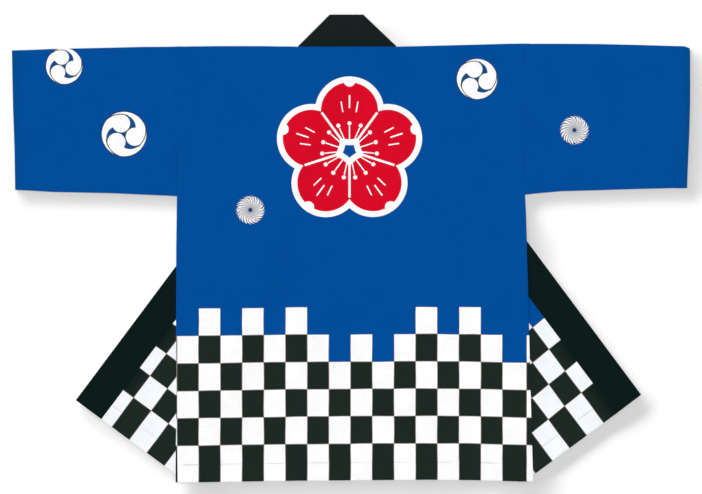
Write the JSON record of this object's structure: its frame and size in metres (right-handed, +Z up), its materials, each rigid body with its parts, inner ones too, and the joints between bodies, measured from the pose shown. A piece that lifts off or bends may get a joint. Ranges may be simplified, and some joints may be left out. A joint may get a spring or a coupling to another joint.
{
  "type": "happi coat laid flat",
  "caption": "Short open-fronted cotton festival coat laid flat, back up, with straight sleeves, both fronts turned under to the sides and one collar band round the neck and fronts.",
  "frame": {"origin": "middle of the coat's outline on the surface it lies on", "axes": "+X towards the right cuff, across the shoulders; +Y from the hem to the neck; +Z up, out of the coat's back"},
  "size_m": [1.2712, 0.8774, 0.0066],
  "materials": {
    "body_cotton": "plain-weave cotton, blue ground, printed in black, white and red, matte",
    "sleeve_cotton": "plain-weave cotton, blue ground with white motifs, matte",
    "band_cotton": "black plain-weave cotton over a core, matte"
  },
  "bodies": {
    "root": {"back": "body_cotton", "front_left": "body_cotton", "front_right": "body_cotton", "sleeve_left": "sleeve_cotton", "sleeve_right": "sleeve_cotton", "collar_band": "band_cotton"}
  },
  "joints": []
}
